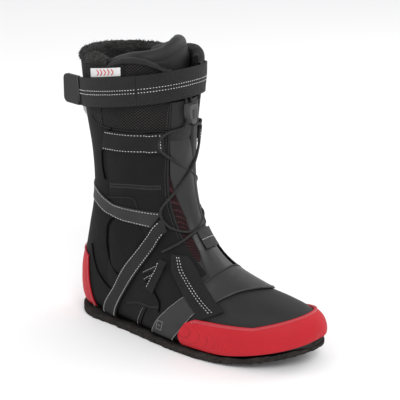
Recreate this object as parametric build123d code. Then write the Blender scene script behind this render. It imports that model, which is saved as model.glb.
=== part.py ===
from build123d import *
import os
from math import copysign, cos, hypot, pi, radians, sin, tan

# Removable inner boot (liner) of a right-foot snowboard boot, in millimetres.
# +X points to the toe, +Z up, the lateral (outer) side is -Y. The origin lies on the
# ground under the middle of the sole's length.

os.makedirs("parts", exist_ok=True)

# ---- driving dimensions -------------------------------------------------------------
SOLE_LENGTH = 291.0
SOLE_THICKNESS = 4.0
HEEL_RADIUS = 42.0
BALL_LATERAL = 52.0
BALL_MEDIAL = 50.0
BALL_X = 45.0
TOE_EXPONENT = 2.12
TOE_INFLARE = 20.0
TOE_SPRING = 18.0
TOE_SPRING_START = 40.0
RAND_LIP = 12.0

# Layers of the boot, as offsets from its outer fabric (inside, outside).
LINING = (-9.0, -7.7)
FOAM = (-7.5, -2.2)
BOARD = (-2.0, -0.2)
COUNTER = (-2.0, -1.2)
COVER = (-1.0, 0.0)
FIRST_WEB = (0.2, 1.8)
SECOND_WEB = (2.0, 3.6)
LOOP_FIELD = (0.2, 1.4)
HOOK_FIELD = (1.8, 3.0)
STRAP = (3.2, 5.2)
TONGUE_WING = (-12.0, -9.6)
TONGUE_PAD = (-9.2, -1.5)
TONGUE_FACE = (-1.3, -0.5)
KEEPER = (6.2, 7.6)

THROAT_HALF = 21.0     # half width of the throat between the eyestays
TONGUE_HALF = 17.0
CUFF_TOP = 292.0
CUFF_BOTTOM = 221.0
COLLAR_BOTTOM = 284.0
COLLAR_TOP = 299.0
COLLAR_X = -66.0       # front edge of the plush rear collar
SPINE_X = -76.0        # front edge of the spine panel
LACE_D = 2.8
STRAP_HEIGHT = 30.0
STRAP_RISE = 0.15      # slope of the cuff strap, front higher than rear
STRAP_Z = 268.5        # centre line of the strap at x = 0
STRAP_SPLIT_X = -34.0  # where the strap's free end folds open
STRAP_END_X = -112.0
TAB_LENGTH = 25.0
TAB_THICKNESS = 3.0
TAB_ANGLE = -8.0       # the tab's direction, turned in from straight back
TAB_ROOT_Y = -46.8
LOOP_WIDTH = 12.0
LOOP_THICKNESS = 1.4
LOCK_SIZE = (10.0, 12.0, 19.0)
LOCK_BACK_X = -8.9
LOCK_Z = 227.0         # bottom of the lock
CORD_SPACING = 7.2     # between the two cords inside the lock
BUTTON_SIZE = (4.0, 5.6, 9.0)
BUTTON_PROUD = 1.4

# Sections of the last, each in a plane holding the Y direction:
# front or top point (x, z), back or bottom point (x, z), lateral half width,
# medial half width, centre y, exponent of the top half, exponent of the bottom
# half, and where along the section, from the top, it is widest.
SECTIONS = [
    ((145.0, 33), (145.0, 27), 4, 4, 20, 2.0, 2.0, 0.50),
    ((141, 42), (143, 21), 15, 14, 19, 2.0, 2.4, 0.62),
    ((133, 51), (136, 19), 26, 25, 17, 2.1, 3.0, 0.66),
    ((118, 58), (121, 15), 36, 35, 13, 2.2, 3.6, 0.70),
    ((99, 63), (100, 10), 44, 42, 9, 2.2, 4.0, 0.72),
    ((79, 68), (75, 6), 49, 45, 5, 2.1, 4.0, 0.72),
    ((60, 75), (49, 4.3), 50, 44, 3, 2.0, 4.0, 0.71),
    ((44, 83), (22, 4.3), 50, 41, 1, 2.0, 4.0, 0.68),
    ((30, 92), (-6, 4.3), 49, 38, 0, 2.0, 4.0, 0.66),
    ((17, 105), (-36, 4.3), 47, 37, 0, 2.0, 4.0, 0.62),
    ((6, 121), (-68, 4.3), 45, 37, 0, 2.0, 4.0, 0.58),
    ((-1, 139), (-102, 4.5), 43, 38, 0, 2.0, 3.8, 0.53),
    ((-6, 159), (-135, 8), 42, 40, 0, 2.0, 3.2, 0.48),
    ((-9, 180), (-142, 40), 43, 42, 0, 2.0, 2.7, 0.45),
    ((-10, 202), (-133, 88), 45, 44, 0, 2.1, 2.3, 0.45),
    ((-10, 224), (-121, 134), 48, 48, 0, 2.1, 2.2, 0.47),
    ((-9, 248), (-120, 180), 51, 51, 0, 2.2, 2.2, 0.48),
    ((-7, 270), (-127, 228), 54, 54, 0, 2.2, 2.2, 0.50),
    ((-6, 290), (-134, 282), 55, 55, 0, 2.2, 2.2, 0.50),
    ((-5, 330), (-140, 328), 56, 56, 0, 2.2, 2.2, 0.50),
]
SECTION_POINTS = 32


def signed_power(value, power):
    return copysign(abs(value) ** power, value)


def section_parameters(n_top, n_bottom):
    """Spacing of the points round a section, the same for all so that the loft stays light."""
    powers = [2 / (n_top if cos(2 * pi * k / SECTION_POINTS) >= 0 else n_bottom)
              for k in range(SECTION_POINTS + 1)]
    points = [(signed_power(cos(2 * pi * k / SECTION_POINTS), power),
               signed_power(sin(2 * pi * k / SECTION_POINTS), power))
              for k, power in enumerate(powers)]
    steps = [hypot(a[0] - b[0], a[1] - b[1]) for a, b in zip(points, points[1:])]
    return [sum(steps[:k]) / sum(steps) for k in range(SECTION_POINTS + 1)]


SECTION_PARAMETERS = section_parameters(2.1, 3)


def section_wire(section, offset):
    """Closed curve of one section of the last, grown by offset."""
    front, back, lateral, medial, y0, n_top, n_bottom, widest = section
    length = hypot(front[0] - back[0], front[1] - back[1])
    ux, uz = (front[0] - back[0]) / length, (front[1] - back[1]) / length
    cx = front[0] - (front[0] - back[0]) * widest
    cz = front[1] - (front[1] - back[1]) * widest
    points = []
    for k in range(SECTION_POINTS):
        angle = 2 * pi * k / SECTION_POINTS
        n = n_top if cos(angle) >= 0 else n_bottom
        reach = (length * widest if cos(angle) >= 0 else length * (1 - widest)) + offset
        half = (medial if sin(angle) >= 0 else lateral) + offset
        along = reach * signed_power(cos(angle), 2 / n)
        across = half * signed_power(sin(angle), 2 / n)
        points.append((cx + ux * along, y0 + across, cz + uz * along))
    return Wire([Edge.make_spline([Vector(*p) for p in points], periodic=True,
                                  parameters=SECTION_PARAMETERS)])


LASTS = {}


def last(offset):
    """The solid inside the boot's outer fabric, grown or shrunk by offset."""
    if offset not in LASTS:
        skipped = sum(offset < limit for limit in (-3, -6, -9.5, -9.5))
        kept = SECTIONS[skipped:]
        LASTS[offset] = Solid.make_loft([section_wire(s, offset) for s in kept])
    return LASTS[offset]


def cut_between(layer, cutter):
    """The part of a layer of the boot that lies inside a cutter."""
    return (cutter & last(layer[1])) - last(layer[0])


def side_prism(points, y_from, y_to):
    """Solid with a side-view outline of (x, z) points, between two y values."""
    face = Face(Wire.make_polygon([Vector(x, y_from, z) for x, z in points], close=True))
    return extrude(face, amount=abs(y_to - y_from), dir=(0, copysign(1, y_to - y_from), 0))


def block(x, y, z):
    """Box between pairs of limits."""
    middle = Pos(sum(x) / 2, sum(y) / 2, sum(z) / 2)
    return middle * Box(x[1] - x[0], y[1] - y[0], z[1] - z[0])


def largest(shape):
    return max(shape.solids(), key=lambda s: s.volume)


def save(name, *shapes):
    """Write one node; several shapes stay separate solids of that node."""
    solids = [s for shape in shapes for s in shape.solids()]
    whole = solids[0] if len(solids) == 1 else Compound(children=solids)
    whole.label = name
    export_step(whole, f"parts/{name}.step")


def save_pair(name, points, layer):
    """The same side-view outline on the lateral and on the medial side."""
    save(f"{name}_lateral", largest(cut_between(layer, side_prism(points, -0.2, -95))))
    save(f"{name}_medial", largest(cut_between(layer, side_prism(points, 0.2, 95))))


def sole_rise(x):
    """Height of the underside of the sole, which springs up towards the toe."""
    past = max(0.0, x - TOE_SPRING_START)
    return TOE_SPRING * (past / (SOLE_LENGTH / 2 - TOE_SPRING_START)) ** 2


def slab(bottom, top, x_from=-150, x_to=150):
    """Layer that follows the sole's underside, between two heights above it."""
    steps = [x_from + (x_to - x_from) * k / 30 for k in range(31)]
    outline = [(x, sole_rise(x) + bottom) for x in steps]
    outline += [(x, sole_rise(x) + top) for x in reversed(steps)]
    return side_prism(outline, -90, 90)


def sole_half_width(x, ball):
    """Half width of the sole on the side whose ball width is given."""
    heel_x = HEEL_RADIUS - SOLE_LENGTH / 2
    if x < heel_x:
        return (max(0.0, HEEL_RADIUS**2 - (x - heel_x) ** 2)) ** 0.5
    if x < BALL_X:
        along = (x - heel_x) / (BALL_X - heel_x)
        return HEEL_RADIUS + (ball - HEEL_RADIUS) * along * along * (3 - 2 * along)
    along = (x - BALL_X) / (SOLE_LENGTH / 2 - BALL_X)
    return ball * max(0.0, 1 - along**TOE_EXPONENT) ** (1 / TOE_EXPONENT)


def sole_plan():
    """Outline of the sole in plan, as a closed curve at z = 0."""
    half = SOLE_LENGTH / 2
    stations = [-half * cos(pi * k / 22) for k in range(23)]
    inflare = [TOE_INFLARE * (max(0.0, x) / half) ** 2 for x in stations]
    lateral = [(x, y - sole_half_width(x, BALL_LATERAL)) for x, y in zip(stations, inflare)]
    medial = [(x, y + sole_half_width(x, BALL_MEDIAL)) for x, y in zip(stations, inflare)]
    ring = lateral + medial[-2:0:-1]
    return Face(Wire([Edge.make_spline([Vector(x, y, 0) for x, y in ring], periodic=True)]))


# ---- sole and inside ----------------------------------------------------------------
def sole_parts():
    block_of_sole = extrude(sole_plan(), amount=60) & slab(0, RAND_LIP)
    save("outsole", largest(block_of_sole - last(0.25)))
    save("insole_board", largest(cut_between(BOARD, slab(4.0, 6.2, -149, 142))))
    bed = last(LINING[0] - 0.3) & slab(9.0, 18.0, -140, 128)
    save("footbed", largest(bed))


def throat(half, bottom=86):
    """Opening down the front, between the eyestays."""
    outline = [(-60, 335), (90, 335), (90, bottom), (30, bottom), (-60, 140)]
    return side_prism(outline, -half, half)


def above(z_front, z_rear):
    """Everything above the cuff's top edge, lower at the rear for the plush collar."""
    outline = [(-160, z_rear), (COLLAR_X, z_rear), (COLLAR_X, z_front), (40, z_front)]
    return side_prism(outline + [(40, 360), (-160, 360)], -95, 95)


def inside_parts():
    shell = last(FOAM[1]) - last(FOAM[0])
    save("foam_shell", largest(shell - throat(THROAT_HALF) - above(290, COLLAR_BOTTOM - 1)))
    lining = last(LINING[1]) - last(LINING[0])
    save("plush_lining", largest(lining - throat(THROAT_HALF + 1) - above(288, 282)))
    cup = side_prism([(-155, 14), (-66, 14), (-78, 78), (-155, 84)], -90, 90)
    save("heel_counter", largest(cut_between(COUNTER, cup)))
    collar = block((-155, COLLAR_X - 0.5), (-80, 80), (COLLAR_BOTTOM, COLLAR_TOP))
    save("plush_collar", largest((collar & last(1.0)) - last(-11.0)))


# ---- outer fabric -------------------------------------------------------------------
def cover_parts():
    front = [(4, CUFF_TOP), (4, CUFF_BOTTOM)]
    mesh = [(SPINE_X + 0.2, CUFF_BOTTOM + 0.2), (40, CUFF_BOTTOM + 0.2), (40, CUFF_TOP)]
    mesh += [(COLLAR_X, CUFF_TOP), (COLLAR_X, COLLAR_BOTTOM - 1), (SPINE_X + 0.2, COLLAR_BOTTOM - 1)]
    quarter = [(SPINE_X + 0.2, CUFF_BOTTOM), (40, CUFF_BOTTOM), (40, 84), (20, 66), (40, 6.6)]
    quarter += [(-84, 6.6), (-84, 66), (SPINE_X + 0.2, 110)]
    for side, name in ((-1, "lateral"), (1, "medial")):
        span = (side * THROAT_HALF, side * 95)
        cuff = cut_between(COVER, side_prism(mesh, *span))
        save(f"cuff_mesh_{name}", largest(cuff))
        panel = cut_between(COVER, side_prism(quarter, *span))
        save(f"quarter_{name}", largest(panel))
    spine = [(SPINE_X, COLLAR_BOTTOM - 1), (-160, COLLAR_BOTTOM - 1), (-160, 9)]
    spine += [(-84.2, 9), (-84.2, 66), (SPINE_X, 110)]
    save("spine_panel", largest(cut_between(COVER, side_prism(spine, -90, 90))))
    vamp = [(40.5, 84), (20.5, 66), (40.5, 6.6), (80, 11), (150, 27), (150, 90)]
    vamp_piece = cut_between(COVER, side_prism(vamp, -90, 90)) - slab(-9, 6.6, 30, 150)
    save("vamp", largest(vamp_piece))
    rand = [(25, 12.6), (40, 41), (76, 43), (100, 44), (118, 49), (150, 58), (150, 30)]
    rand += [(118, 24), (90, 17), (60, 12.9)]
    rand_piece = cut_between(FIRST_WEB, side_prism(rand, -90, 90)) - slab(-9, RAND_LIP + 0.4, 20, 150)
    save("toe_rand", largest(rand_piece))
    heel = [(-112, 66), (-155, 74), (-155, 12.4), (-116, 12.4)]
    save("heel_rand", largest(cut_between(FIRST_WEB, side_prism(heel, -90, 90))))
    pad = [(-80, 68), (-77, 54), (-66, 60), (-46, 88), (-34, 112), (-52, 118), (-80, 119)]
    save_pair("ankle_pad", pad, FIRST_WEB)


# ---- webbing ------------------------------------------------------------------------
def strap_parts():
    save_pair("calf_strap", [(-76, 197), (-19, 199), (-19, 220), (-76, 217)], FIRST_WEB)
    ankle = [(-140, 158), (-97, 151), (-70, 139), (-30, 136), (-19, 136), (-29, 119.4)]
    ankle += [(-60, 122), (-83, 127), (-97, 134), (-140, 142)]
    save("ankle_strap", largest(cut_between(FIRST_WEB, side_prism(ankle, -90, 90))))
    heel = [(-15, 132), (-23, 123), (-40, 96), (-60, 71), (-74, 45), (-88, 27), (-97, 12.6)]
    heel += [(-76, 12.6), (-67, 26), (-59, 40), (-48, 57), (-38, 72), (-25, 91), (-9, 119)]
    save_pair("heel_strap", heel, SECOND_WEB)
    middle = [(-19, 12.6), (2, 46), (22, 62), (37.5, 48), (27, 31), (15, 12.6)]
    save_pair("midfoot_strap", middle, FIRST_WEB)
    instep = [(-3, 96), (15, 97), (36, 78), (57, 62), (68, 55), (47, 44), (20, 66), (1, 82)]
    save_pair("vamp_strap", instep, SECOND_WEB)
    band = side_prism([(34, 90), (46, 90), (90, 76), (79, 64), (54, 62), (36, 76)], -34, 30)
    save("forefoot_band", largest(cut_between(FIRST_WEB, band)))
    low = [(-29, 77), (-13, 96), (-5, 92), (-10, 71), (-16, 58)]
    save_pair("low_loop", low, FIRST_WEB)
    label = [(-88, 271.4), (-48, 277.4), (-48, 285), (-88, 280)]
    save("label_lateral", largest(cut_between((0.2, 0.8), side_prism(label, -10, -90))))
    inner = [(-60, 272), (-42, 274), (-42, 284), (-60, 282)]
    save("label_medial", largest(cut_between((-9.8, -9.2), side_prism(inner, 10, 90))))


# ---- tongue -------------------------------------------------------------------------
def tongue_parts():
    outline = [(-45, 248), (20, 248), (90, 93), (26, 93), (-30, 140)]
    front = side_prism(outline, -TONGUE_HALF, TONGUE_HALF)
    save("tongue_pad", largest(cut_between(TONGUE_PAD, front)))
    save("tongue_face", largest(cut_between(TONGUE_FACE, front)))
    wings = side_prism([(-62, 261), (20, 261), (60, 118), (0, 118), (-34, 140)], -46, 46)
    save("tongue_wings", largest(cut_between(TONGUE_WING, wings)))
    outer = [Pos(-63, 0, z) * Ellipse(a, b) for z, a, b in ((262.4, 44, 40), (312, 31, 36))]
    inner = [Pos(-63, 0, z) * Ellipse(a, b) for z, a, b in ((262.4, 30, 28), (312, 19, 24))]
    shape = loft(outer) - loft(inner)
    profile = [(-65, 262.6), (0, 262.6), (0, 308), (-34, 311), (-52, 305), (-65, 298)]
    save("tongue_top", largest(shape & side_prism(profile, -60, 60)))
    band = side_prism([(6, 118), (24, 118), (34, 99), (10, 99)], -11, 11)
    save("lace_keeper", largest(cut_between(KEEPER, band)))
    for side, name in ((-1, "lateral"), (1, "medial")):
        strip = side_prism([(-40, 200), (30, 200), (60, 90), (26, 90), (-30, 140)],
                           side * (TONGUE_HALF + 0.5), side * (THROAT_HALF - 0.5))
        save(f"gusset_{name}", largest(cut_between((-3.4, -2.4), strip)))


# ---- cuff strap, pull tab and rear loop ----------------------------------------------
def strap_band(x_from, x_to, half_height):
    """Side-view outline of a stretch of the cuff strap."""
    ends = [(x, STRAP_Z + STRAP_RISE * x) for x in (x_from, x_to)]
    lower = [(x, z - half_height) for x, z in ends]
    upper = [(x, z + half_height) for x, z in reversed(ends)]
    return lower + upper


def cuff_strap_parts():
    half = STRAP_HEIGHT / 2
    around = side_prism(strap_band(STRAP_SPLIT_X, 10, half), -95, 0)
    around += side_prism(strap_band(STRAP_END_X, 10, half), 0, 95)
    save("cuff_strap", largest(cut_between(STRAP, around)))
    free = side_prism(strap_band(STRAP_END_X, STRAP_SPLIT_X - 0.6, half), -10, -95)
    save("strap_free_end", largest(cut_between(STRAP, free)))
    field = side_prism(strap_band(-104, -44, half - 3), -10, -95)
    save("strap_hook_patch", largest(cut_between(HOOK_FIELD, field)))
    loops = side_prism(strap_band(-102, -30, half - 1), -10, -95)
    save("strap_loop_patch", largest(cut_between(LOOP_FIELD, loops)))
    anchor = side_prism(strap_band(-110, -98, half - 2), 10, 95)
    save("strap_anchor", largest(cut_between((0.2, 2.9), anchor)))


def pull_tab():
    """Moulded tab at the end of the strap; it leaves the cuff in a straight line."""
    z = STRAP_Z + STRAP_RISE * STRAP_END_X
    plate = Box(TAB_LENGTH, TAB_THICKNESS, STRAP_HEIGHT)
    plate = fillet(plate.edges().filter_by(Axis.Y).group_by(Axis.X)[0], 6)
    plate = Pos(-TAB_LENGTH / 2 - 0.8, 0, 0) * plate
    save("pull_tab", Pos(STRAP_END_X, TAB_ROOT_Y, z) * Rot(0, 0, TAB_ANGLE) * plate)


def rear_loop():
    """Webbing folded into a finger loop, standing up and out from its seam at the back."""
    corners = [(-123.5, 199.5), (-135, 203), (-149, 218), (-152, 228), (-145, 231),
               (-134, 222), (-124.5, 209)]
    outline = Polyline(*corners, close=True)
    outer = fillet(make_face(outline).vertices(), 2.5)
    ring = outer - offset(outer, amount=-LOOP_THICKNESS)
    band = extrude(Plane.XZ * ring, amount=LOOP_WIDTH / 2, both=True)
    save("rear_pull_loop", band)


# ---- lace and lock -------------------------------------------------------------------
# Route of the lace's centre line, from its sewn end at the medial ankle loop, over the
# tongue and round the calf loops, through the lock to a bight under the strap, and back
# down to its sewn end at the low lateral loop.
LACE_ROUTE = [
    (-24, 31.5, 154), (-14, 22, 162), (-7.2, 10, 169.5), (-6.8, 0, 176.5), (-9.5, -13, 186),
    (-15, -25.5, 196), (-18.5, -31, 201.5), (-19, -33, 209), (-16.5, -31, 216),
    (-12, -23, 220.5), (-8.5, -13, 221.5), (-6.6, -6, 223), (-6, -3.6, 228.5),
    (-6, -3.6, 240), (-7.2, -3.6, 251), (-10, -3.6, 262), (-12, -3.6, 272),
    (-12, 3.6, 272), (-10, 3.6, 262), (-7.2, 3.6, 251), (-6, 3.6, 240),
    (-6, 3.6, 228.5), (-6.6, 6, 223), (-8.5, 13, 221.5), (-12, 23, 220.5),
    (-16.5, 31, 216), (-19, 33, 209), (-18.5, 31, 201.5), (-15, 25.5, 195.5),
    (-8.5, 13.5, 186), (-3.7, 0, 177), (-5.5, -10.5, 167.5), (-10.5, -20, 155),
    (-16.5, -27.5, 145), (-19.5, -31, 137.5), (-16.5, -31, 129.5), (-9, -28.5, 122),
    (2, -20.5, 118), (7.8, -12.8, 117), (8.2, 0, 122), (2, 13.5, 127), (-8, 23.5, 128.5),
    (-17.5, 30.5, 127), (-17, 31, 120.5), (-7.5, 25, 118.5), (4, 13.5, 120),
    (11.5, 0, 119.5), (11, -13.5, 117.5), (4.5, -26.5, 108), (-11, -37.5, 98),
]


def corner_radius(before, corner, after):
    """Largest arc that the two runs at a corner leave room for."""
    incoming, outgoing = corner - before, after - corner
    turn = radians(incoming.get_angle(outgoing))
    return 0.45 * min(incoming.length, outgoing.length) / tan(turn / 2)


def lace_parts():
    points = [Vector(*p) for p in LACE_ROUTE]
    radii = [corner_radius(*points[k - 1:k + 2]) for k in range(1, len(points) - 1)]
    path = FilletPolyline(*points, radius=radii)
    start = Plane(origin=path @ 0, z_dir=path % 0)
    tube = sweep(start * Circle(LACE_D / 2), path=path)
    section = pi * LACE_D**2 / 4
    print("lace length", round(path.length, 1), "volume ratio", round(tube.volume / section / path.length, 4))
    print("lace radii", [round(r, 1) for r in radii])
    save("lace", tube)


def lock_parts():
    depth, width, height = LOCK_SIZE
    x_mid = LOCK_BACK_X + depth / 2
    body = block((LOCK_BACK_X, LOCK_BACK_X + depth), (-width / 2, width / 2),
                 (LOCK_Z, LOCK_Z + height))
    body = fillet(body.edges().filter_by(Axis.X), 3)
    front_x = LOCK_BACK_X + depth
    for y in (-CORD_SPACING / 2, CORD_SPACING / 2):
        body -= Pos(-6, y, LOCK_Z + height / 2) * Cylinder(2.2, height + 2)
    deep, wide, tall = BUTTON_SIZE
    z_mid = LOCK_Z + height / 2
    pocket_back = front_x - deep - 0.9
    body -= block((pocket_back, front_x + 1), (-wide / 2 - 0.3, wide / 2 + 0.3),
                  (z_mid - tall / 2 - 0.3, z_mid + tall / 2 + 0.3))
    save("lock_body", largest(body))
    face = front_x + BUTTON_PROUD
    button = block((face - deep, face), (-wide / 2, wide / 2), (z_mid - tall / 2, z_mid + tall / 2))
    save("lock_button", fillet(button.edges().group_by(Axis.X)[-1], 0.8))
    spring = Pos((pocket_back + face - deep) / 2, 0, z_mid) * Rot(0, 90, 0)
    save("lock_spring", spring * (Cylinder(2.0, face - deep - pocket_back - 0.2) - Cylinder(1.5, 9)))


sole_parts()
inside_parts()
cover_parts()
strap_parts()
tongue_parts()
cuff_strap_parts()
pull_tab()
rear_loop()
lace_parts()
lock_parts()
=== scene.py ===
import math

import bpy
import numpy as np
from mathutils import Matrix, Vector
from mathutils.bvhtree import BVHTree


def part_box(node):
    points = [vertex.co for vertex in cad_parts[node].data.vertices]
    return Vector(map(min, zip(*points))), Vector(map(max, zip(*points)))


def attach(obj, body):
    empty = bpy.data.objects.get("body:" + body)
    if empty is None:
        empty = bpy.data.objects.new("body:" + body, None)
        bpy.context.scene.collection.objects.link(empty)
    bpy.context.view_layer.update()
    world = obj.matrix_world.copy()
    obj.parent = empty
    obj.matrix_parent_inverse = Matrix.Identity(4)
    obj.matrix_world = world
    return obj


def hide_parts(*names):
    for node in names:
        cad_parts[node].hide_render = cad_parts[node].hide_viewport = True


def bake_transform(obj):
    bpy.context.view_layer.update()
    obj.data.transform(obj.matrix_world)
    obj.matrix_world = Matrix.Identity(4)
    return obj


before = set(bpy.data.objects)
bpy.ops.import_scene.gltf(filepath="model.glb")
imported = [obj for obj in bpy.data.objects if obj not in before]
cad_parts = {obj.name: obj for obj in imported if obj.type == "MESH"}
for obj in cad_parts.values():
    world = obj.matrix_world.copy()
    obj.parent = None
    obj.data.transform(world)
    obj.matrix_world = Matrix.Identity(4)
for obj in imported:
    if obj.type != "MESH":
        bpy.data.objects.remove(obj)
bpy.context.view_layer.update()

# Inner boot (liner) of a snowboard boot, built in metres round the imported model. Lengths in
# the tables below are in millimetres. +X is the toe, +Z up, the lateral side is -Y.

MM = 0.001
LATERAL, MEDIAL = -1, 1
rng = np.random.default_rng(11)
bpy.ops.object.select_all(action="DESELECT")
for cad_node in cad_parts.values():
    cad_node.select_set(False)


# ---- camera, light, floor -------------------------------------------------------------
CAMERA_AZIMUTH, CAMERA_ELEVATION, CAMERA_DISTANCE = 39.85, 18.37, 1.241
CAMERA_AIM, CAMERA_LENS, CAMERA_SHIFT = (0, 0, 0.140), 109.7, (0.0150, 0.0150)


def make_camera():
    azimuth, elevation = math.radians(CAMERA_AZIMUTH), math.radians(CAMERA_ELEVATION)
    back = Vector((math.sin(azimuth) * math.cos(elevation),
                   -math.cos(azimuth) * math.cos(elevation), math.sin(elevation)))
    data = bpy.data.cameras.new("camera")
    data.lens, data.sensor_width = CAMERA_LENS, 36
    data.shift_x, data.shift_y = CAMERA_SHIFT
    camera = bpy.data.objects.new("camera", data)
    bpy.context.scene.collection.objects.link(camera)
    camera.location = Vector(CAMERA_AIM) + back * CAMERA_DISTANCE
    camera.rotation_euler = (-back).to_track_quat("-Z", "Y").to_euler()
    bpy.context.scene.camera = camera


def make_light(name, place, size, power, aim=(0, 0, 0.14)):
    data = bpy.data.lights.new(name, "AREA")
    data.size, data.energy = size, power
    lamp = bpy.data.objects.new(name, data)
    bpy.context.scene.collection.objects.link(lamp)
    lamp.location = place
    lamp.rotation_euler = (Vector(aim) - Vector(place)).to_track_quat("-Z", "Y").to_euler()


def make_studio():
    bpy.ops.mesh.primitive_plane_add(size=8, location=(0, 0, -0.0002))
    floor = bpy.context.object
    floor.name = "floor"
    bpy.ops.object.transform_apply(location=True)
    pale = bpy.data.materials.new("pale_floor")
    pale.use_nodes = True
    shader = pale.node_tree.nodes["Principled BSDF"]
    shader.inputs["Base Color"].default_value = (0.9, 0.9, 0.905, 1)
    shader.inputs["Roughness"].default_value = 0.9
    floor.data.materials.append(pale)
    world = bpy.data.worlds.new("studio")
    bpy.context.scene.world = world
    world.use_nodes = True
    world.node_tree.nodes["Background"].inputs["Color"].default_value = (0.915, 0.915, 0.92, 1)
    world.node_tree.nodes["Background"].inputs["Strength"].default_value = 1.0
    make_light("key", (1.3, -0.9, 1.6), 0.8, 17)
    make_light("side", (-1.6, -0.9, 1.0), 1.0, 7)
    make_light("rear", (0.5, 1.6, 1.2), 1.0, 8)
    bpy.context.scene.view_settings.view_transform = "Standard"


# ---- the form that every piece of cloth is laid on ------------------------------------
# Front or top point (x, z), back or bottom point (x, z), lateral half width, medial half
# width, centre y, exponent of the top half, of the bottom half, where it is widest.
SECTIONS = np.array([
    (145.0, 33, 145.0, 27, 4, 4, 20, 2.0, 2.0, 0.50),
    (141, 42, 143, 21, 15, 14, 19, 2.0, 2.4, 0.62),
    (133, 51, 136, 19, 26, 25, 17, 2.1, 3.0, 0.66),
    (118, 58, 121, 15, 36, 35, 13, 2.2, 3.6, 0.70),
    (99, 63, 100, 10, 44, 42, 9, 2.2, 4.0, 0.72),
    (79, 68, 75, 6, 49, 45, 5, 2.1, 4.0, 0.72),
    (60, 75, 49, 4.3, 50, 44, 3, 2.0, 4.0, 0.71),
    (44, 83, 22, 4.3, 50, 41, 1, 2.0, 4.0, 0.68),
    (30, 92, -6, 4.3, 49, 38, 0, 2.0, 4.0, 0.66),
    (17, 105, -36, 4.3, 47, 37, 0, 2.0, 4.0, 0.62),
    (6, 121, -68, 4.3, 45, 37, 0, 2.0, 4.0, 0.58),
    (-1, 139, -102, 4.5, 43, 38, 0, 2.0, 3.8, 0.53),
    (-6, 159, -135, 8, 42, 40, 0, 2.0, 3.2, 0.48),
    (-9, 180, -142, 40, 43, 42, 0, 2.0, 2.7, 0.45),
    (-10, 202, -133, 88, 45, 44, 0, 2.1, 2.3, 0.45),
    (-10, 224, -121, 134, 48, 48, 0, 2.1, 2.2, 0.47),
    (-9, 248, -120, 180, 51, 51, 0, 2.2, 2.2, 0.48),
    (-7, 270, -127, 228, 54, 54, 0, 2.2, 2.2, 0.50),
    (-6, 290, -134, 282, 55, 55, 0, 2.2, 2.2, 0.50),
    (-5, 330, -140, 328, 56, 56, 0, 2.2, 2.2, 0.50),
])
FORMS = {}


def between_sections(steps):
    """Sections with smooth ones added between them."""
    padded = np.vstack([SECTIONS[0], SECTIONS, SECTIONS[-1]])
    rows = []
    for k in range(len(SECTIONS) - 1):
        a, b, c, d = padded[k:k + 4]
        for t in np.arange(steps) / steps:
            rows.append(0.5 * (2 * b + (c - a) * t + (2 * a - 5 * b + 4 * c - d) * t**2
                               + (3 * b - a - 3 * c + d) * t**3))
    return rows + [SECTIONS[-1]]


def form(offset):
    """Search tree of the boot's outer surface, grown by an offset in millimetres."""
    key = round(offset, 2)
    if key in FORMS:
        return FORMS[key]
    count, points, faces, rings = 96, [], [], 0
    for fx, fz, bx, bz, lateral, medial, y0, n_top, n_bottom, widest in between_sections(5):
        if min(lateral, medial) + offset < 0.8:
            continue
        length = math.hypot(fx - bx, fz - bz)
        ux, uz = (fx - bx) / length, (fz - bz) / length
        cx, cz = fx - (fx - bx) * widest, fz - (fz - bz) * widest
        for k in range(count):
            c, s = math.cos(2 * math.pi * k / count), math.sin(2 * math.pi * k / count)
            power = 2 / (n_top if c >= 0 else n_bottom)
            reach = length * (widest if c >= 0 else 1 - widest) + offset
            half = (medial if s >= 0 else lateral) + offset
            along = reach * math.copysign(abs(c) ** power, c)
            points.append(Vector((cx + ux * along, y0 + half * math.copysign(abs(s) ** power, s),
                                  cz + uz * along)) * MM)
        rings += 1
    for r in range(rings - 1):
        for k in range(count):
            n = (k + 1) % count
            faces.append((r * count + k, r * count + n, (r + 1) * count + n, (r + 1) * count + k))
    faces.append(tuple(range(count)))
    FORMS[key] = BVHTree.FromPolygons(points, faces)
    return FORMS[key]


def out_from(origin, direction, offset):
    """Where a ray from inside the boot comes out through the form, all in millimetres."""
    start, way = Vector(origin) * MM, Vector(direction).normalized()
    hit = form(offset).ray_cast(start, way)[0]
    if hit is None:
        hit = form(offset).find_nearest(start + way * 0.05)[0]
    return hit / MM


def axis_x(z):
    return float(np.interp(z, (10, 60, 110, 150), (0, -25, -52, -68)))


def round_point(phi, z, offset):
    """Point at a height, phi degrees round from the front; negative is the lateral side."""
    a = math.radians(phi)
    return out_from((axis_x(z), 0, z), (math.cos(a), math.sin(a), 0), offset)


RINGS = {}


def ring(z, side):
    key = (round(z), side)
    if key not in RINGS:
        angles = np.arange(0, 181, 3.0)
        RINGS[key] = angles, np.array([round_point(side * a, key[0], 0) for a in angles])
    return RINGS[key]


def phi_at_x(x, side):
    """phi as a function of height, where the surface on one side reaches x (number or line)."""
    def find(z):
        angles, points = ring(z, side)
        target = x(z) if callable(x) else x
        return side * float(np.interp(-target, -points[:, 0], angles))
    return find


def phi_at_y(y, side):
    def find(z):
        angles, points = ring(z, side)
        near = angles < 75
        return side * float(np.interp(y, abs(points[near, 1]), angles[near]))
    return find


def line(*points):
    """Straight runs through (input, output) points."""
    a = np.array(sorted(points), float)
    return lambda value: float(np.interp(value, a[:, 0], a[:, 1]))


# ---- ways to lay a piece: each gives place(u, v, offset) in millimetres ---------------
def belt(start, end, low, high):
    """Band round the boot between two seams (phi of z) and two edges (z of x)."""
    low, high = [edge if callable(edge) else (lambda x, e=edge: e) for edge in (low, high)]

    def place(u, v, offset):
        x = -60.0
        for _ in range(4):
            z = low(x) * (1 - v) + high(x) * v
            a, b = start(z), end(z)
            hit = round_point(a + (b - a) * u, z, offset)
            x = hit.x
        return hit
    return place


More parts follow.
